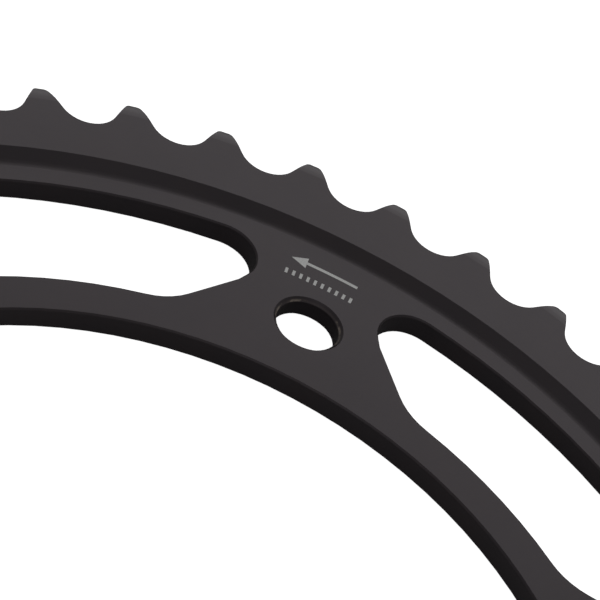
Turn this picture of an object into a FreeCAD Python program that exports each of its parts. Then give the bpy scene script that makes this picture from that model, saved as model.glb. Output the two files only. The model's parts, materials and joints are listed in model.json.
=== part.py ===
import FreeCAD, Part
import math
import os
import Sketcher

# A motorcycle rear sprocket, machined in one piece from aluminium plate.
#
# Frame: +Z is the sprocket's axis, the origin is the bore's centre on the mid-plane of the teeth,
# and +X runs through a bolt hole that lines up with the middle of a tooth.

# Driving dimensions: alias, value (mm, degrees or a count), what it is.
DIMENSIONS = [
    ("chain_pitch", 15.875, "pitch of the roller chain, 5/8 inch"),
    ("tooth_count", 46, "teeth"),
    ("seat_radius", 5.1, "roller seat at the foot of a tooth gap, for a 10.16 mm roller"),
    ("flank_lean", 30.0, "degrees from the gap's centre line to a tooth flank"),
    ("crown_radius", 1.5, "round of a tooth's top, seen along the axis"),
    ("tip_radius", 118.55, "turned outside radius"),
    ("ring_thickness", 6.0, "thickness of the toothed ring"),
    ("web_thickness", 4.0, "thickness of the web, centred in the ring"),
    ("bevel_start", 115.2, "radius where the side bevel of the teeth begins"),
    ("bevel_sweep", 8.4, "radius of the curved side bevel"),
    ("step_radius", 103.0, "radius of the edge where the ring steps down to the web"),
    ("ramp_lean", 18.6, "degrees from the web's face to the slope below that edge"),
    ("cove_radius", 3.7, "radius of the hollow at the foot of the slope"),
    ("bore_radius", 68.0, "centre bore"),
    ("edge_break", 0.25, "small chamfer along the bore and the slots"),
    ("bolt_count", 6, "bolt holes, one on each spoke"),
    ("bolt_circle", 162.7, "diameter of the circle of bolt holes"),
    ("bolt_hole", 10.5, "diameter of a bolt hole, clearance for M10"),
    ("hole_chamfer", 0.65, "chamfer at both ends of a bolt hole"),
    ("spoke_shift", 0.4, "degrees from a bolt hole to the middle of its spoke"),
    ("slot_outer", 95.95, "outer radius of a lightening slot"),
    ("slot_inner", 75.0, "inner radius of a lightening slot"),
    ("knee_radius", 84.8, "radius of the knee in a spoke's side"),
    ("knee_offset", 12.5, "distance from the spoke's centre line to the knee"),
    ("side_lean", 24.0, "degrees from the spoke's centre line to its side beyond the knee"),
    ("flare_lean", 35.0, "degrees from the spoke's centre line to its side inside the knee"),
    ("nose_fillet", 6.1, "fillet at a slot's outer corners"),
    ("knee_fillet", 1.5, "fillet at the knee"),
    ("flare_fillet", 12.0, "fillet at a slot's inner corners"),
    ("mark_hole", 120.0, "degrees to the bolt hole that the etched mark stands outside of"),
    ("mark_shift", 0.8, "degrees from that hole to the middle of the mark"),
    ("mark_depth", 0.1, "depth of the etching in the web's face"),
    ("mark_fill", 0.07, "thickness of the pale layer in the etching"),
    ("arrow_radius", 94.6, "radius of the rotation arrow's centre line"),
    ("arrow_width", 0.7, "width of its shaft"),
    ("arrow_sweep", 7.2, "degrees that the arrow spans"),
    ("arrow_head", 2.6, "width of its head"),
    ("head_sweep", 1.7, "degrees that its head spans"),
    ("tick_radius", 91.0, "radius of the middle of the row of ticks"),
    ("tick_height", 1.3, "radial length of a tick"),
    ("tick_width", 0.5, "width of a tick"),
    ("tick_step", 0.8, "degrees between ticks"),
    ("tick_count", 10, "ticks in the row"),
]
ORIGIN = -1  # a sketch's own origin point and X axis
START, END, CENTRE = 1, 2, 3  # the points of a sketch's line or arc
TOLERANCE = 1e-4
OVERRUN = 3  # how far the outline of a tooth gap runs past the blank, mm

doc = FreeCAD.newDocument("rear_sprocket")
size = {alias: value for alias, value, _ in DIMENSIONS}


def make_sheet():
    """The spreadsheet of driving dimensions, one row each."""
    sheet = doc.addObject("Spreadsheet::Sheet", "dimensions")
    for row, (alias, value, meaning) in enumerate(DIMENSIONS, start=1):
        sheet.set(f"A{row}", meaning)
        sheet.set(f"B{row}", str(value))
        sheet.setAlias(f"B{row}", alias)
    doc.recompute()


def bind(feature, path, formula):
    """Drives a property or a named sketch constraint from the sheet: {name} is a cell."""
    cells = {alias: f"dimensions.{alias}" for alias in size}
    feature.setExpression(path, formula.format(**cells))


class Outline:
    """A sketch on one of a body's origin planes, with the constraints that bind it to the sheet."""

    def __init__(self, body, name, plane):
        self.sketch = body.newObject("Sketcher::SketchObject", name)
        self.sketch.AttachmentSupport = [(datum(body, plane), "")]
        self.sketch.MapMode = "FlatFace"

    def line(self, start, end, construction=False):
        segment = Part.LineSegment(FreeCAD.Vector(*start, 0), FreeCAD.Vector(*end, 0))
        return self.sketch.addGeometry(segment, construction)

    def arc(self, centre, radius, first, last):
        """An arc that runs counter-clockwise between two angles in radians."""
        circle = Part.Circle(FreeCAD.Vector(*centre, 0), FreeCAD.Vector(0, 0, 1), radius)
        return self.sketch.addGeometry(Part.ArcOfCircle(circle, first, last), False)

    def tie(self, kind, *references):
        """A constraint without a size, such as Coincident, Tangent or Symmetric."""
        self.sketch.addConstraint(Sketcher.Constraint(kind, *references))

    def measure(self, kind, *references, value, formula):
        """A constraint whose size comes from the sheet: angles are in degrees."""
        if kind == "Angle":
            value = math.radians(value)
            formula = f"({formula}) * 1 deg"
        index = self.sketch.addConstraint(Sketcher.Constraint(kind, *references, value))
        name = f"size_{index}"
        self.sketch.renameConstraint(index, name)
        bind(self.sketch, f"Constraints.{name}", formula)

    def cell(self, kind, *references, alias):
        """A constraint whose size is one cell of the sheet."""
        self.measure(kind, *references, value=size[alias], formula=f"{{{alias}}}")

    def centred_arc(self, radius, first, last, formula):
        """An arc about the sprocket's axis."""
        arc = self.arc((0, 0), radius, first, last)
        self.tie("Coincident", arc, CENTRE, ORIGIN, START)
        self.measure("Radius", arc, value=radius, formula=formula)
        return arc

    def spoke_line(self, length, angle, length_formula, angle_formula):
        """A construction line from the sprocket's axis at an angle in degrees."""
        line = self.line((0, 0), polar(length, math.radians(angle)), construction=True)
        self.tie("Coincident", line, START, ORIGIN, START)
        self.measure("Distance", line, value=length, formula=length_formula)
        self.measure("Angle", line, value=angle, formula=angle_formula)
        return line


def polar(radius, angle):
    return (radius * math.cos(angle), radius * math.sin(angle))


def toward(point, angle, distance):
    return (point[0] + distance * math.cos(angle), point[1] + distance * math.sin(angle))


def on_circle(point, angle, radius):
    """Where the line through a point at an angle, followed outward, crosses a circle about the axis."""
    along = point[0] * math.cos(angle) + point[1] * math.sin(angle)
    across = point[0] ** 2 + point[1] ** 2 - along**2
    return toward(point, angle, math.sqrt(radius**2 - across) - along)


def datum(body, role):
    return next(item for item in body.Origin.OriginFeatures if item.Role == role)


def finish(body, feature, removes=True):
    """Makes a feature the body's tip, computes it and checks that it changed the volume."""
    body.Tip = feature
    doc.recompute()
    before = feature.BaseFeature.Shape.Volume if feature.BaseFeature else 0.0
    change = feature.Shape.Volume - before
    if change == 0 or (change > 0) == removes:
        raise RuntimeError(f"{feature.Name} changed the volume by {change}")
    return feature


def turn_blank(body):
    """The disc as it comes off the lathe: bore, web, sloping steps, ring and side bevels."""
    half_web = size["web_thickness"] / 2
    half_ring = size["ring_thickness"] / 2
    recess = half_ring - half_web
    cove, sweep, chamfer = size["cove_radius"], size["bevel_sweep"], size["edge_break"]
    bore, step, bevel, tip = (size[alias] for alias in
                              ("bore_radius", "step_radius", "bevel_start", "tip_radius"))
    lean = math.radians(size["ramp_lean"])
    ramp_rise = recess - cove * (1 - math.cos(lean))
    ramp_foot = (step - ramp_rise / math.tan(lean), half_ring - ramp_rise)
    foot = ramp_foot[0] - cove * math.sin(lean)
    bevel_end = math.acos((tip - bevel) / sweep)
    tip_height = half_ring - sweep * (1 - math.sin(bevel_end))

    outline = Outline(body, "turned_section", "XZ_Plane")
    bore_wall = outline.line((bore, 0), (bore, half_web - chamfer))
    bore_edge = outline.line((bore, half_web - chamfer), (bore + chamfer, half_web))
    web_face = outline.line((bore + chamfer, half_web), (foot, half_web))
    cove_arc = outline.arc((foot, half_web + cove), cove, -math.pi / 2, lean - math.pi / 2)
    ramp = outline.line(ramp_foot, (step, half_ring))
    ring_face = outline.line((step, half_ring), (bevel, half_ring))
    bevel_arc = outline.arc((bevel, half_ring - sweep), sweep, bevel_end, math.pi / 2)
    rim = outline.line((tip, tip_height), (tip, 0))
    mid_plane = outline.line((tip, 0), (bore, 0))

    outline.tie("Coincident", bore_wall, END, bore_edge, START)
    outline.tie("Coincident", bore_edge, END, web_face, START)
    outline.tie("Tangent", web_face, END, cove_arc, START)
    outline.tie("Tangent", cove_arc, END, ramp, START)
    outline.tie("Coincident", ramp, END, ring_face, START)
    outline.tie("Tangent", ring_face, END, bevel_arc, END)
    outline.tie("Coincident", bevel_arc, START, rim, START)
    outline.tie("Coincident", rim, END, mid_plane, START)
    outline.tie("Coincident", mid_plane, END, bore_wall, START)
    for upright in (bore_wall, rim):
        outline.tie("Vertical", upright)
    for level in (web_face, ring_face, mid_plane):
        outline.tie("Horizontal", level)
    outline.tie("PointOnObject", mid_plane, END, ORIGIN)
    outline.cell("DistanceX", ORIGIN, START, bore_wall, START, alias="bore_radius")
    outline.cell("DistanceX", bore_edge, START, bore_edge, END, alias="edge_break")
    outline.cell("DistanceY", bore_edge, START, bore_edge, END, alias="edge_break")
    outline.measure("DistanceY", ORIGIN, START, web_face, START,
                    value=half_web, formula="{web_thickness} / 2")
    outline.measure("DistanceY", ORIGIN, START, ring_face, START,
                    value=half_ring, formula="{ring_thickness} / 2")
    outline.cell("DistanceX", ORIGIN, START, ring_face, START, alias="step_radius")
    outline.cell("DistanceX", ORIGIN, START, ring_face, END, alias="bevel_start")
    outline.cell("DistanceX", ORIGIN, START, rim, START, alias="tip_radius")
    outline.cell("Angle", ramp, alias="ramp_lean")
    outline.cell("Radius", cove_arc, alias="cove_radius")
    outline.cell("Radius", bevel_arc, alias="bevel_sweep")

    blank = body.newObject("PartDesign::Revolution", "turned_half")
    blank.Profile = outline.sketch
    blank.ReferenceAxis = (outline.sketch, ["V_Axis"])
    blank.Angle = 360.0
    finish(body, blank, removes=False)
    both = body.newObject("PartDesign::Mirrored", "turned_blank")
    both.Originals = [blank]
    both.MirrorPlane = (datum(body, "XY_Plane"), [""])
    finish(body, both, removes=False)


def pocket_through(body, outline, name):
    pocket = body.newObject("PartDesign::Pocket", name)
    pocket.Profile = outline.sketch
    pocket.Type = "ThroughAll"
    pocket.SideType = "Symmetric"
    return finish(body, pocket)


def repeat_all_round(body, cut, name, count):
    """Repeats a cut about the sprocket's axis as often as a cell of the sheet says."""
    pattern = body.newObject("PartDesign::PolarPattern", name)
    pattern.Originals = [cut]
    pattern.Axis = (datum(body, "Z_Axis"), [""])
    pattern.Angle = 360.0
    pattern.Occurrences = size[count]
    bind(pattern, "Occurrences", f"{{{count}}}")
    return finish(body, pattern)


def cut_teeth(body):
    """Tooth gaps: a roller seat, straight flanks, and half the crown of the tooth on each side."""
    half_pitch = math.pi / size["tooth_count"]
    half_pitch_degrees = math.degrees(half_pitch)
    pitch_radius = size["chain_pitch"] / (2 * math.sin(half_pitch))
    seat, crown, lean = size["seat_radius"], size["crown_radius"], math.radians(size["flank_lean"])
    beyond = size["tip_radius"] + OVERRUN
    seat_centre = polar(pitch_radius, half_pitch)

    # The tooth on +X lies below the gap: its flank runs outward as the seat's tangent.
    heading = half_pitch - lean
    foot = toward(seat_centre, heading - math.pi / 2, seat)
    crown_centre = foot[0] + (crown - foot[1] * math.cos(heading)) / math.sin(heading)
    shoulder = toward((crown_centre, 0), heading + math.pi / 2, crown)
    top = (crown_centre + crown, 0)

    # The next tooth's flank is its mirror image in the gap's centre line.
    def mirrored(point):
        return polar(math.hypot(*point), 2 * half_pitch - math.atan2(point[1], point[0]))

    mirror_heading = half_pitch + lean
    outline = Outline(body, "tooth_gap_outline", "XY_Plane")
    centre_line = outline.spoke_line(pitch_radius, half_pitch_degrees,
                                     "{chain_pitch} / (2 * sin(180 deg / {tooth_count}))",
                                     "180 / {tooth_count}")
    seat_arc = outline.arc(seat_centre, seat, mirror_heading + math.pi / 2,
                           heading - math.pi / 2 + 2 * math.pi)
    flank = outline.line(foot, shoulder)
    crown_arc = outline.arc((crown_centre, 0), crown, 0, heading + math.pi / 2)
    ray = outline.line(top, (beyond, 0))
    far_flank = outline.line(mirrored(foot), mirrored(shoulder))
    far_crown = outline.arc(mirrored((crown_centre, 0)), crown,
                            mirror_heading - math.pi / 2, 2 * half_pitch)
    far_ray = outline.line(mirrored(top), mirrored((beyond, 0)))
    closing = outline.line((beyond, 0), mirrored((beyond, 0)))

    outline.tie("Coincident", centre_line, END, seat_arc, CENTRE)
    outline.cell("Radius", seat_arc, alias="seat_radius")
    outline.tie("Tangent", seat_arc, END, flank, START)
    outline.measure("Angle", flank, value=math.degrees(heading),
                    formula="180 / {tooth_count} - {flank_lean}")
    outline.tie("Tangent", flank, END, crown_arc, END)
    outline.tie("PointOnObject", crown_arc, CENTRE, ORIGIN)
    outline.cell("Radius", crown_arc, alias="crown_radius")
    outline.tie("Coincident", crown_arc, START, ray, START)
    outline.tie("PointOnObject", ray, START, ORIGIN)
    outline.tie("Horizontal", ray)
    outline.measure("DistanceX", ORIGIN, START, ray, END, value=beyond,
                    formula=f"{{tip_radius}} + {OVERRUN}")
    outline.tie("Tangent", seat_arc, START, far_flank, START)
    outline.tie("Symmetric", flank, END, far_flank, END, centre_line)
    outline.tie("Symmetric", crown_arc, START, far_crown, END, centre_line)
    outline.tie("Symmetric", ray, END, far_ray, END, centre_line)
    outline.tie("Equal", crown_arc, far_crown)
    outline.tie("Coincident", far_flank, END, far_crown, START)
    outline.tie("Coincident", far_crown, END, far_ray, START)
    outline.tie("Coincident", ray, END, closing, START)
    outline.tie("Coincident", far_ray, END, closing, END)

    gap = pocket_through(body, outline, "tooth_gap")
    repeat_all_round(body, gap, "tooth_gaps", "tooth_count")


def cut_slots(body):
    """Lightening slots between the spokes, each side of a spoke bent outward at a knee."""
    shift, pitch = size["spoke_shift"], 360 / size["bolt_count"]
    outer, inner = size["slot_outer"], size["slot_inner"]
    knee_radius, knee_offset = size["knee_radius"], size["knee_offset"]
    middle = shift + pitch / 2
    side_heading = math.radians(shift - size["side_lean"])
    flare_heading = math.radians(shift - size["flare_lean"])
    knee = polar(knee_radius, math.radians(shift) + math.asin(knee_offset / knee_radius))
    nose = on_circle(knee, side_heading, outer)
    heel = on_circle(knee, flare_heading, inner)

    def mirrored(point):
        return polar(math.hypot(*point), 2 * math.radians(middle) - math.atan2(point[1], point[0]))

    def angle_of(point):
        return math.atan2(point[1], point[0])

    outline = Outline(body, "slot_outline", "XY_Plane")
    spoke = outline.spoke_line(outer, shift, "{slot_outer}", "{spoke_shift}")
    centre_line = outline.spoke_line(outer, middle, "{slot_outer}", "{spoke_shift} + 180 / {bolt_count}")
    outer_arc = outline.centred_arc(outer, angle_of(nose), angle_of(mirrored(nose)), "{slot_outer}")
    inner_arc = outline.centred_arc(inner, angle_of(heel), angle_of(mirrored(heel)), "{slot_inner}")
    side = outline.line(knee, nose)
    flare = outline.line(heel, knee)
    far_side = outline.line(mirrored(knee), mirrored(nose))
    far_flare = outline.line(mirrored(heel), mirrored(knee))

    outline.tie("Coincident", flare, END, side, START)
    outline.tie("Coincident", side, END, outer_arc, START)
    outline.tie("Coincident", flare, START, inner_arc, START)
    outline.tie("Coincident", far_flare, END, far_side, START)
    outline.tie("Coincident", far_side, END, outer_arc, END)
    outline.tie("Coincident", far_flare, START, inner_arc, END)
    outline.measure("Distance", ORIGIN, START, side, START, value=knee_radius, formula="{knee_radius}")
    outline.measure("Distance", side, START, spoke, value=knee_offset, formula="{knee_offset}")
    outline.measure("Angle", side, value=math.degrees(side_heading),
                    formula="{spoke_shift} - {side_lean}")
    outline.measure("Angle", flare, value=math.degrees(flare_heading),
                    formula="{spoke_shift} - {flare_lean}")
    outline.tie("Symmetric", side, START, far_side, START, centre_line)
    outline.measure("Angle", far_side, value=shift + pitch + size["side_lean"],
                    formula="{spoke_shift} + 360 / {bolt_count} + {side_lean}")
    outline.measure("Angle", far_flare, value=shift + pitch + size["flare_lean"],
                    formula="{spoke_shift} + 360 / {bolt_count} + {flare_lean}")

    slot = pocket_through(body, outline, "slot")
    repeat_all_round(body, slot, "slots", "bolt_count")
    round_corners(body, "nose_rounds", outer, "nose_fillet")
    round_corners(body, "knee_rounds", knee_radius, "knee_fillet")
    round_corners(body, "flare_rounds", inner, "flare_fillet")
    break_slot_edges(body)


def corner_edges(shape, radius):
    """Names of the upright straight edges at a radius from the axis."""
    names = []
    for index, edge in enumerate(shape.Edges, start=1):
        first, last = edge.Vertexes[0].Point, edge.Vertexes[-1].Point
        upright = math.hypot(first.x - last.x, first.y - last.y) < TOLERANCE
        if upright and abs(math.hypot(first.x, first.y) - radius) < TOLERANCE:
            names.append(f"Edge{index}")
    return names


def round_corners(body, name, radius, fillet):
    """Fillets the slots' upright corner edges at a radius."""
    edges = corner_edges(body.Tip.Shape, radius)
    if len(edges) != 2 * size["bolt_count"]:
        raise RuntimeError(f"{name} found {len(edges)} corners")
    base = body.Tip
    rounds = body.newObject("PartDesign::Fillet", name)
    rounds.Base = (base, edges)
    rounds.Radius = size[fillet]
    bind(rounds, "Radius", f"{{{fillet}}}")
    finish(body, rounds, removes=False)


def break_slot_edges(body):
    """A small chamfer around every slot, on both faces of the web."""
    half_web = size["web_thickness"] / 2
    edges = []
    for index, edge in enumerate(body.Tip.Shape.Edges, start=1):
        middle = edge.valueAt((edge.FirstParameter + edge.LastParameter) / 2)
        radius = math.hypot(middle.x, middle.y)
        in_slot = size["slot_inner"] - TOLERANCE < radius < size["slot_outer"] + TOLERANCE
        if in_slot and abs(abs(middle.z) - half_web) < TOLERANCE:
            edges.append(f"Edge{index}")
    base = body.Tip
    chamfer = body.newObject("PartDesign::Chamfer", "slot_edge_break")
    chamfer.Base = (base, edges)
    chamfer.Size = size["edge_break"]
    bind(chamfer, "Size", "{edge_break}")
    finish(body, chamfer)


def drill_bolt_holes(body):
    """Plain clearance holes, chamfered at both ends: one profile turned about the hole's own axis."""
    centre = size["bolt_circle"] / 2
    radius, chamfer = size["bolt_hole"] / 2, size["hole_chamfer"]
    half_web = size["web_thickness"] / 2
    over = 1.0  # how far the cutter stands out of each face
    mouth = (centre + radius + chamfer + over, half_web + over)
    throat = (centre + radius, half_web - chamfer)

    outline = Outline(body, "bolt_hole_section", "XZ_Plane")
    axis = outline.line((centre, -mouth[1]), (centre, mouth[1]), construction=True)
    spine = outline.line((centre, mouth[1]), (centre, -mouth[1]))
    top = outline.line((centre, mouth[1]), mouth)
    upper_cone = outline.line(mouth, throat)
    wall = outline.line(throat, (throat[0], -throat[1]))
    lower_cone = outline.line((throat[0], -throat[1]), (mouth[0], -mouth[1]))
    bottom = outline.line((mouth[0], -mouth[1]), (centre, -mouth[1]))

    outline.tie("Coincident", axis, END, spine, START)
    outline.tie("Coincident", axis, START, spine, END)
    outline.tie("Coincident", spine, START, top, START)
    outline.tie("Coincident", top, END, upper_cone, START)
    outline.tie("Coincident", upper_cone, END, wall, START)
    outline.tie("Coincident", wall, END, lower_cone, START)
    outline.tie("Coincident", lower_cone, END, bottom, START)
    outline.tie("Coincident", bottom, END, spine, END)
    outline.tie("Horizontal", top)
    outline.tie("Symmetric", spine, START, spine, END, ORIGIN)
    outline.tie("Symmetric", top, END, bottom, START, ORIGIN)
    outline.tie("Symmetric", wall, START, wall, END, ORIGIN)
    outline.measure("DistanceX", ORIGIN, START, spine, START, value=centre, formula="{bolt_circle} / 2")
    outline.measure("DistanceX", spine, START, top, END, value=mouth[0] - centre,
                    formula=f"{{bolt_hole}} / 2 + {{hole_chamfer}} + {over}")
    outline.measure("DistanceY", ORIGIN, START, spine, START, value=mouth[1],
                    formula=f"{{web_thickness}} / 2 + {over}")
    outline.measure("DistanceX", spine, START, wall, START, value=radius, formula="{bolt_hole} / 2")
    outline.measure("DistanceY", ORIGIN, START, wall, START, value=throat[1],
                    formula="{web_thickness} / 2 - {hole_chamfer}")

    hole = body.newObject("PartDesign::Groove", "bolt_hole")
    hole.Profile = outline.sketch
    hole.ReferenceAxis = (outline.sketch, ["Axis0"])
    hole.Angle = 360.0
    finish(body, hole)
    repeat_all_round(body, hole, "bolt_holes", "bolt_count")


def mark_outline(body, name, height, height_formula):
    """A sketch parallel to the web's face, for the etched mark."""
    outline = Outline(body, name, "XY_Plane")
    outline.sketch.AttachmentOffset = FreeCAD.Placement(FreeCAD.Vector(0, 0, height), FreeCAD.Rotation())
    bind(outline.sketch, "AttachmentOffset.Base.z", height_formula)
    return outline


def radial_edge(outline, radii, angle, angle_formula):
    """A line that points away from the sprocket's axis, at an angle in degrees."""
    turn = math.radians(angle)
    edge = outline.line(polar(radii[0], turn), polar(radii[1], turn))
    outline.measure("Angle", edge, value=angle, formula=angle_formula)
    outline.tie("PointOnObject", ORIGIN, START, edge)
    return edge


def draw_arrow(outline):
    """An arrow bent round the sprocket's axis, which shows the direction of rotation."""
    middle = size["mark_hole"] + size["mark_shift"]
    tail, point = middle - size["arrow_sweep"] / 2, middle + size["arrow_sweep"] / 2
    neck = point - size["head_sweep"]
    radius, half_shaft, half_head = size["arrow_radius"], size["arrow_width"] / 2, size["arrow_head"] / 2
    shaft = (radius - half_shaft, radius + half_shaft)
    head = (radius - half_head, radius + half_head)
    middle_formula = "{mark_hole} + {mark_shift}"
    neck_formula = middle_formula + " + {arrow_sweep} / 2 - {head_sweep}"

    inner = outline.centred_arc(shaft[0], math.radians(tail), math.radians(neck),
                                "{arrow_radius} - {arrow_width} / 2")
    outer = outline.centred_arc(shaft[1], math.radians(tail), math.radians(neck),
                                "{arrow_radius} + {arrow_width} / 2")
    tail_edge = radial_edge(outline, shaft, tail, middle_formula + " - {arrow_sweep} / 2")
    inner_barb = radial_edge(outline, (head[0], shaft[0]), neck, neck_formula)
    outer_barb = radial_edge(outline, (shaft[1], head[1]), neck, neck_formula)
    tip_line = outline.spoke_line(radius, point, "{arrow_radius}", middle_formula + " + {arrow_sweep} / 2")
    tip = polar(radius, math.radians(point))
    inner_slope = outline.line(polar(head[0], math.radians(neck)), tip)
    outer_slope = outline.line(tip, polar(head[1], math.radians(neck)))

    outline.tie("Coincident", tail_edge, START, inner, START)
    outline.tie("Coincident", tail_edge, END, outer, START)
    outline.tie("Coincident", inner_barb, END, inner, END)
    outline.tie("Coincident", outer_barb, START, outer, END)
    outline.tie("Coincident", inner_slope, START, inner_barb, START)
    outline.tie("Coincident", inner_slope, END, tip_line, END)
    outline.tie("Coincident", outer_slope, START, tip_line, END)
    outline.tie("Coincident", outer_slope, END, outer_barb, END)
    outline.measure("Distance", ORIGIN, START, inner_barb, START,
                    value=head[0], formula="{arrow_radius} - {arrow_head} / 2")
    outline.measure("Distance", ORIGIN, START, outer_barb, END,
                    value=head[1], formula="{arrow_radius} + {arrow_head} / 2")


def draw_tick(outline):
    """The first of a row of short radial ticks inside the arrow."""
    radius, half_height = size["tick_radius"], size["tick_height"] / 2
    radii = (radius - half_height, radius + half_height)
    half_angle = math.degrees(size["tick_width"] / 2 / radius)
    first = size["mark_hole"] + size["mark_shift"] - size["tick_step"] * (size["tick_count"] - 1) / 2
    first_formula = "{mark_hole} + {mark_shift} - {tick_step} * ({tick_count} - 1) / 2"
    half_formula = "{tick_width} / 2 / {tick_radius} * 180 / pi"
    turns = (math.radians(first - half_angle), math.radians(first + half_angle))

    inner = outline.centred_arc(radii[0], *turns, "{tick_radius} - {tick_height} / 2")
    outer = outline.centred_arc(radii[1], *turns, "{tick_radius} + {tick_height} / 2")
    near = radial_edge(outline, radii, first - half_angle, f"{first_formula} - {half_formula}")
    far = radial_edge(outline, radii, first + half_angle, f"{first_formula} + {half_formula}")
    for edge, end in ((near, START), (far, END)):
        outline.tie("Coincident", edge, START, inner, end)
        outline.tie("Coincident", edge, END, outer, end)


def shape_mark(body, kind, height, height_formula, depth, prefix):
    """The arrow and the row of ticks, as pockets or as pads of a depth that a cell gives."""
    removes = kind == "PartDesign::Pocket"
    for name, draw in (("arrow", draw_arrow), ("tick", draw_tick)):
        outline = mark_outline(body, f"{prefix}_{name}_outline", height, height_formula)
        draw(outline)
        feature = body.newObject(kind, f"{prefix}_{name}")
        feature.Profile = outline.sketch
        feature.Length = size[depth]
        bind(feature, "Length", f"{{{depth}}}")
        finish(body, feature, removes)
    row = body.newObject("PartDesign::PolarPattern", f"{prefix}_tick_row")
    row.Originals = [feature]
    row.Axis = (datum(body, "Z_Axis"), [""])
    row.Angle = size["tick_step"] * (size["tick_count"] - 1)
    row.Occurrences = size["tick_count"]
    bind(row, "Angle", "{tick_step} * ({tick_count} - 1)")
    bind(row, "Occurrences", "{tick_count}")
    finish(body, row, removes)


def make_body(name):
    body = doc.addObject("PartDesign::Body", name)
    body.Label = name
    return body


def make_plate():
    """The sprocket itself: one solid, with the mark etched into the web's upper face."""
    plate = make_body("sprocket_plate")
    turn_blank(plate)
    cut_teeth(plate)
    cut_slots(plate)
    drill_bolt_holes(plate)
    shape_mark(plate, "PartDesign::Pocket", size["web_thickness"] / 2, "{web_thickness} / 2",
               "mark_depth", "etch")
    return plate


def make_mark():
    """The pale layer on the floor of the etching."""
    mark = make_body("etched_mark")
    shape_mark(mark, "PartDesign::Pad", size["web_thickness"] / 2 - size["mark_depth"],
               "{web_thickness} / 2 - {mark_depth}", "mark_fill", "layer")
    return mark


def check(subparts):
    """Stops the build if any object failed or a sub-part has no sound shape."""
    for item in doc.Objects:
        if {"Invalid", "Error"} & set(item.State):
            raise RuntimeError(f"{item.Name} failed: {item.State}")
        if item.isDerivedFrom("Sketcher::SketchObject") and not item.FullyConstrained:
            raise RuntimeError(f"{item.Name} is not fully constrained")
    for body in subparts:
        if body.Shape.isNull() or not body.Shape.isValid():
            raise RuntimeError(f"{body.Label} has no valid shape")


make_sheet()
subparts = [make_plate(), make_mark()]
doc.recompute()
check(subparts)
os.makedirs("parts", exist_ok=True)
for body in subparts:
    body.Shape.exportStep(f"parts/{body.Label}.step")
    print(body.Label, len(body.Shape.Solids), "solids", round(body.Shape.Volume, 2), "mm3")
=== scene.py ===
"""Looks, floor, lights and camera for a black anodised motorcycle rear sprocket.

All lengths are in metres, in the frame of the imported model: the origin is the
middle of the bore, +Z comes out of the marked face and +X runs through a bolt hole.
"""

import json
import math

import bmesh
import bpy
from mathutils import Matrix, Vector


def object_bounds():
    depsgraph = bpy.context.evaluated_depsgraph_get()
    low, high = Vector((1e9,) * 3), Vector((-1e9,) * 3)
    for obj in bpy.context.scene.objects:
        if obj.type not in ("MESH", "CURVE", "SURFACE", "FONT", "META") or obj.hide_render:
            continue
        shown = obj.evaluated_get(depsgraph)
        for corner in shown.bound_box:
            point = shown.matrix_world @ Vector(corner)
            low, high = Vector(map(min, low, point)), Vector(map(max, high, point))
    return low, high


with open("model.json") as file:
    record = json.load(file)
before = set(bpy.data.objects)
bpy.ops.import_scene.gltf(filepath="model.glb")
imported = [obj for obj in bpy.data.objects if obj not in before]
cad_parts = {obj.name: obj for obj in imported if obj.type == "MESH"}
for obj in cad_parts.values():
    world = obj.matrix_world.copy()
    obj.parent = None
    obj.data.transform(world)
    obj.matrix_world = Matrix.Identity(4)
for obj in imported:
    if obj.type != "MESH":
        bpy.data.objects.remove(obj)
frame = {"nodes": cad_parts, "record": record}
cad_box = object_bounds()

MM = 0.001

PLATE = frame["nodes"]["sprocket_plate"]
MARK = frame["nodes"]["etched_mark"]

MOUNTS = {mount["name"]: mount["dims"] for mount in frame["record"]["mounts"]}
BOLTS = MOUNTS["bolt_holes"]

# ---- the camera ------------------------------------------------------------------
CAMERA_AT = (0.10975, -0.19400, 0.26532)
CAMERA_LOOKS = (-0.38218, 0.65744, -0.64940)
CAMERA_UP = (-0.67418, 0.28225, 0.68251)
CAMERA_LENS = 152.33
CAMERA_SENSOR = 36.0

# ---- the studio ------------------------------------------------------------------
SWEEP_FLAT = 3.2            # radius of the flat part of the floor
SWEEP_COVE = 1.2            # radius of the curve between floor and wall
SWEEP_WALL = 3.0            # height of the straight wall above the curve
SWEEP_SEGMENTS = 96
COVE_STEPS = 16
BOARD_RADIUS = 2.5
BOARD_SEGMENTS = 64
BOARD_DROP = 0.0002         # how far the unseen board lies below the floor
BOARD_GREY = 0.5
FLOOR_GREY = 0.9
FLOOR_GLOW = 0.97
PAINT_ROUGHNESS = 0.9
WORLD_GLOW = 0.2

# each soft light: name, place, the point it aims at, width, height, radiance of its face
LIGHTS = (
    ("beyond", (-0.745, 1.285, 0.66), (-0.045, 0.073, 0.0), 2.6, 1.3, 0.62),
    ("near", (0.95, -1.65, 0.95), (0.0, 0.0, 0.0), 2.0, 0.9, 0.9),
)

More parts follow.
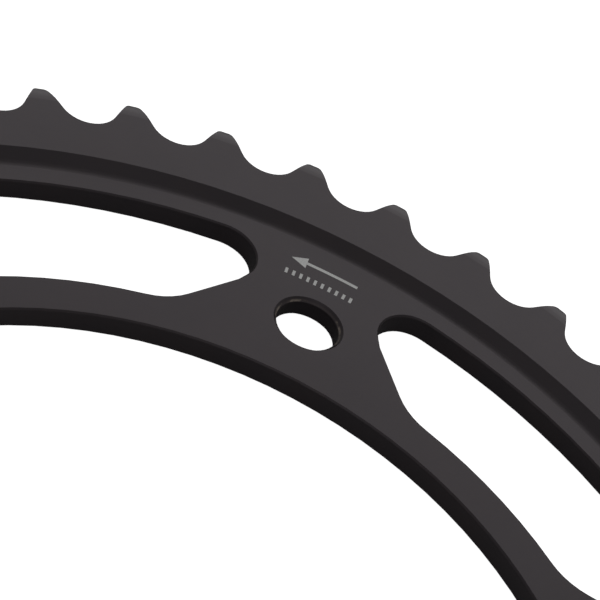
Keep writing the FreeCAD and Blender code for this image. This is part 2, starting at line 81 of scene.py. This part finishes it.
# ---- the finishes ----------------------------------------------------------------
# the scales of noise are in repeats per metre
BLACK_COOL = (0.0130, 0.0112, 0.0124, 1.0)
BLACK_WARM = (0.0150, 0.0120, 0.0124, 1.0)
# painted highlight: the next colour lightens the sharp edges, partly also standing for metal
# rubbed bare there
EDGE_RUB_AND_HIGHLIGHT = (0.13, 0.12, 0.115, 1.0)
# painted highlight: the next colour is a bare-metal-toned glint round the inner edge of each
# bolt-hole chamfer
BOLT_GLINT = (0.26, 0.22, 0.18, 1.0)
BLACK_SHEEN = (1.0, 0.87, 0.94, 1.0)
BLACK_IOR = 1.62
BLACK_ROUGHNESS = 0.36
BLACK_BUMP = 0.12
ETCHED_DULL = (0.76, 0.76, 0.75, 1.0)
ETCHED_BRIGHT = (0.92, 0.92, 0.91, 1.0)
ETCHED_BUMP = 0.2
BUMP_DEPTH = 0.02 * MM      # height of the relief that the bump stands for
EDGE_REACH = 0.35 * MM      # how far from a sharp edge the painted highlight and rubbing begin
RING_SCALE, BAND_SCALE, GRAIN_SCALE = 5200.0, 420.0, 9000.0
# on the next line, the third scale sets the patches of the painted edge highlight and the
# fourth those of the painted bolt-hole glint
CLOUD_SCALE, WARM_SCALE, RUB_HIGHLIGHT_SCALE, GLINT_PATCH_SCALE = 55.0, 140.0, 700.0, 420.0
SPECK_SCALE, PATCH_SCALE = 6000.0, 900.0
LOW, HIGH = 0.3, 0.7        # the range of a noise's values that a spread covers

# distances outside the wall of a bolt hole, in millimetres, over which the painted glint rises
# and falls
GLINT_RISE = (0.01, 0.08)
GLINT_FALL = (0.14, 0.40)


# ---- node helpers ----------------------------------------------------------------
class Nodes:
    """Adds nodes to one material and links them by socket.

    Inputs are named by their label, with _ for a space, or by position as i0, i1 and so on.
    """

    def __init__(self, name):
        self.material = bpy.data.materials.new(name)
        self.material.use_nodes = True
        self.tree = self.material.node_tree
        self.shader = self.tree.nodes["Principled BSDF"]

    def add(self, kind, settings=None, **inputs):
        node = self.tree.nodes.new("ShaderNode" + kind)
        for key, value in (settings or {}).items():
            setattr(node, key, value)
        for key, value in inputs.items():
            by_place = key[0] == "i" and key[1:].isdigit()
            self.put(value, node.inputs[int(key[1:]) if by_place else key.replace("_", " ")])
        return node

    def put(self, value, socket):
        if isinstance(value, bpy.types.NodeSocket):
            self.tree.links.new(value, socket)
        else:
            socket.default_value = value

    def math(self, operation, a, b=0.0):
        return self.add("Math", {"operation": operation}, i0=a, i1=b).outputs[0]

    def length(self, x, y):
        """The length of a flat vector."""
        flat = self.add("CombineXYZ", None, X=x, Y=y).outputs[0]
        return self.add("VectorMath", {"operation": "LENGTH"}, i0=flat).outputs["Value"]

    def object_place(self):
        return self.add("TexCoord").outputs["Object"]

    def bump(self, strength, height):
        return self.add("Bump", None, Strength=strength, Distance=BUMP_DEPTH,
                        Height=height).outputs[0]

    def finish(self, colour, roughness, normal):
        """Join the three to the shader and give back the material."""
        self.put(colour, self.shader.inputs["Base Color"])
        self.put(roughness, self.shader.inputs["Roughness"])
        self.put(normal, self.shader.inputs["Normal"])
        return self.material

    def noise(self, where, scale, detail=2.0, roughness=0.5):
        node = self.add("TexNoise", None, Vector=where, Scale=scale, Detail=detail,
                        Roughness=roughness)
        return node.outputs["Fac"]

    def spread(self, value, low, high, to_low, to_high):
        node = self.add("MapRange", {"interpolation_type": "SMOOTHSTEP"}, Value=value,
                        From_Min=low, From_Max=high, To_Min=to_low, To_Max=to_high)
        return node.outputs["Result"]

    def mix(self, factor, a, b, blend="MIX"):
        node = self.add("Mix", {"data_type": "RGBA", "blend_type": blend})
        self.put(factor, node.inputs[0])
        self.put(a, node.inputs[6])
        self.put(b, node.inputs[7])
        return node.outputs[2]


def from_bolt_hole(n, x, y, radius):
    """Distance from the axis of the nearest bolt hole, with the plate folded into one spoke."""
    pitch = math.tau / BOLTS["count"]
    angle = n.math("ADD", n.math("ARCTAN2", y, x), pitch / 2)
    angle = n.math("SUBTRACT", n.math("FLOORED_MODULO", angle, pitch), pitch / 2)
    outward = n.math("MULTIPLY", radius, n.math("COSINE", angle))
    outward = n.math("SUBTRACT", outward, BOLTS["pcd_mm"] / 2 * MM)
    across = n.math("MULTIPLY", radius, n.math("SINE", angle))
    squares = n.math("ADD", n.math("MULTIPLY", outward, outward),
                     n.math("MULTIPLY", across, across))
    return n.math("SQRT", squares)


def anodised(name):
    """Black anodised aluminium: dyed oxide on machined metal, with light wear at its edges, and
    painted highlights that lighten the sharp edges and the inner edges of the bolt-hole
    chamfers.
    """
    n = Nodes(name)
    place = n.object_place()
    split = n.add("SeparateXYZ", None, Vector=place)
    x, y = split.outputs["X"], split.outputs["Y"]
    radius = n.length(x, y)

    # the lathe's feed marks are rings, so they depend on the radius alone
    along = n.add("CombineXYZ", None, X=radius).outputs[0]
    rings = n.noise(along, RING_SCALE, 3.0, 0.6)
    bands = n.noise(along, BAND_SCALE)
    grain = n.noise(place, GRAIN_SCALE, 2.0, 0.6)
    cloud = n.noise(place, CLOUD_SCALE, 3.0, 0.55)
    warm = n.noise(place, WARM_SCALE)

    # edges: where a rounded normal leaves the true one; there the colour is lightened as a
    # painted highlight, partly also as rubbed-through wear
    soft = n.add("Bevel", {"samples": 6}, Radius=EDGE_REACH).outputs[0]
    true = n.add("NewGeometry").outputs["True Normal"]
    turn = n.add("VectorMath", {"operation": "DOT_PRODUCT"}, i0=soft, i1=true)
    edge = n.spread(turn.outputs["Value"], 0.995, 0.86, 0.0, 1.0)
    patches = n.spread(n.noise(place, RUB_HIGHLIGHT_SCALE, 4.0, 0.65), 0.42, 0.72, 0.15, 1.0)
    rub_and_highlight = n.math("MULTIPLY", edge, patches)

    # painted highlight: a bright, bare-metal-toned glint along the inner edge of the chamfer at
    # each hole, in patches
    hole = from_bolt_hole(n, x, y, radius)
    rise = [(BOLTS["hole_r_mm"] + gap) * MM for gap in GLINT_RISE]
    fall = [(BOLTS["hole_r_mm"] + gap) * MM for gap in GLINT_FALL]
    rim = n.math("MULTIPLY", n.spread(hole, *rise, 0.0, 1.0),
                 n.spread(hole, *fall, 1.0, 0.0))
    patches = n.spread(n.noise(place, GLINT_PATCH_SCALE, 4.0, 0.7), 0.44, 0.62, 0.08, 1.0)
    glinting = n.math("MULTIPLY", rim, patches)

    tint = n.mix(n.spread(warm, 0.35, 0.65, 0.0, 1.0), BLACK_COOL, BLACK_WARM)
    shade = n.math("MULTIPLY", n.spread(cloud, LOW, HIGH, 0.93, 1.07),
                   n.spread(grain, LOW, HIGH, 0.9, 1.1))
    grey = n.add("CombineColor", None, Red=shade, Green=shade, Blue=shade).outputs[0]
    colour = n.mix(1.0, tint, grey, "MULTIPLY")
    # painted highlight along the sharp edges, partly also edge wear
    colour = n.mix(n.math("MULTIPLY", rub_and_highlight, 0.35), colour, EDGE_RUB_AND_HIGHLIGHT)
    # painted glint round the bolt holes
    colour = n.mix(glinting, colour, BOLT_GLINT)

    rough = BLACK_ROUGHNESS
    for noise, swing in ((cloud, 0.02), (rings, 0.025), (grain, 0.03)):
        rough = n.math("ADD", rough, n.spread(noise, LOW, HIGH, -swing, swing))

    relief = n.math("ADD", n.math("MULTIPLY", rings, 0.5), n.math("MULTIPLY", grain, 0.9))
    relief = n.math("ADD", relief, n.math("MULTIPLY", bands, 0.6))

    n.shader.inputs["IOR"].default_value = BLACK_IOR
    n.shader.inputs["Specular Tint"].default_value = BLACK_SHEEN
    return n.finish(colour, rough, n.bump(BLACK_BUMP, relief))


def etched(name):
    """Pale laser-marked oxide: matt, chalky and slightly uneven."""
    n = Nodes(name)
    place = n.object_place()
    speck = n.noise(place, SPECK_SCALE, 3.0, 0.65)
    patch = n.noise(place, PATCH_SCALE)
    colour = n.mix(n.spread(speck, LOW, HIGH, 0.0, 1.0), ETCHED_DULL, ETCHED_BRIGHT)
    rough = n.spread(patch, LOW, HIGH, 0.55, 0.72)
    return n.finish(colour, rough, n.bump(ETCHED_BUMP, speck))


def matt_paint(name, grey):
    """Plain matt paint of one grey, with no gloss."""
    n = Nodes(name)
    n.shader.inputs["Base Color"].default_value = (grey, grey, grey, 1.0)
    n.shader.inputs["Roughness"].default_value = PAINT_ROUGHNESS
    n.shader.inputs["Specular IOR Level"].default_value = 0.0
    return n


def dress(node, material):
    """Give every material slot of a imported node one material."""
    slots = node.material_slots
    if not slots:
        node.data.materials.append(material)
    for slot in slots:
        slot.material = material


# ---- floor, lights, camera ---------------------------------------------------------
def stand(name, bm, paint):
    """Turn a mesh in the making into a painted piece of the studio."""
    mesh = bpy.data.meshes.new(name)
    bm.to_mesh(mesh)
    bm.free()
    piece = bpy.data.objects.new(name, mesh)
    bpy.context.scene.collection.objects.link(piece)
    mesh.materials.append(paint.material)
    return piece


def make_sweep(floor_height):
    """A round pale floor that curves up into a wall on every side.

    Only the camera sees it, so it takes no shadow and puts no light on the part.
    """
    profile = [(0.0, 0.0), (SWEEP_FLAT, 0.0)]
    for step in range(1, COVE_STEPS + 1):
        angle = math.radians(90.0) * step / COVE_STEPS
        profile.append((SWEEP_FLAT + SWEEP_COVE * math.sin(angle),
                        SWEEP_COVE * (1.0 - math.cos(angle))))
    profile.append((SWEEP_FLAT + SWEEP_COVE, SWEEP_COVE + SWEEP_WALL))

    bm = bmesh.new()
    points = [bm.verts.new((r, 0.0, floor_height + z)) for r, z in profile]
    lines = [bm.edges.new(pair) for pair in zip(points, points[1:])]
    bmesh.ops.spin(bm, geom=points + lines, cent=(0, 0, 0), axis=(0, 0, 1),
                   angle=math.tau, steps=SWEEP_SEGMENTS, use_merge=True)
    bmesh.ops.remove_doubles(bm, verts=bm.verts, dist=0.0001)
    bmesh.ops.recalc_face_normals(bm, faces=bm.faces)
    paint = matt_paint("sweep_paint", FLOOR_GREY)
    paint.shader.inputs["Emission Color"].default_value = (1.0, 1.0, 1.0, 1.0)
    paint.shader.inputs["Emission Strength"].default_value = FLOOR_GLOW
    sweep = stand("studio_sweep", bm, paint)
    sweep.data.shade_smooth()
    sweep.visible_diffuse = False
    sweep.visible_glossy = False
    sweep.visible_shadow = False


def make_board(floor_height):
    """The grey board under the part, which throws light up at it but isn't itself in view."""
    bm = bmesh.new()
    bmesh.ops.create_circle(bm, cap_ends=True, segments=BOARD_SEGMENTS, radius=BOARD_RADIUS)
    bmesh.ops.translate(bm, verts=bm.verts, vec=(0, 0, floor_height - BOARD_DROP))
    board = stand("studio_board", bm, matt_paint("board_paint", BOARD_GREY))
    board.visible_camera = False


def soft_box(name, at, aim, width, height, radiance):
    """A rectangular soft light; radiance is how bright its face is."""
    data = bpy.data.lights.new(name, "AREA")
    data.shape = "RECTANGLE"
    data.size, data.size_y = width, height
    data.energy = radiance * math.pi * width * height
    light = bpy.data.objects.new(name, data)
    bpy.context.scene.collection.objects.link(light)
    light.location = at
    light.rotation_euler = (Vector(aim) - Vector(at)).to_track_quat("-Z", "Y").to_euler()
    light.visible_camera = False


def make_camera():
    """The camera, stood and turned by hand so that it can roll."""
    data = bpy.data.cameras.new("camera")
    data.sensor_width = CAMERA_SENSOR
    data.lens = CAMERA_LENS
    data.clip_start, data.clip_end = 0.01, 50.0
    camera = bpy.data.objects.new("camera", data)
    bpy.context.scene.collection.objects.link(camera)
    back = -Vector(CAMERA_LOOKS).normalized()
    side = Vector(CAMERA_UP).cross(back).normalized()
    up = back.cross(side)
    turn = Matrix((side, up, back)).transposed()
    camera.matrix_world = Matrix.Translation(CAMERA_AT) @ turn.to_4x4()
    bpy.context.scene.camera = camera


def make_world():
    """A faint even light from all round."""
    world = bpy.data.worlds.new("studio_air")
    world.use_nodes = True
    background = world.node_tree.nodes["Background"]
    background.inputs["Color"].default_value = (1.0, 1.0, 1.0, 1.0)
    background.inputs["Strength"].default_value = WORLD_GLOW
    bpy.context.scene.world = world


dress(PLATE, anodised("anodised_black"))
dress(MARK, etched("etched_oxide"))

make_sweep(cad_box[0].z)
make_board(cad_box[0].z)
make_world()
for light in LIGHTS:
    soft_box(*light)
make_camera()
bpy.context.scene.view_settings.view_transform = "Standard"
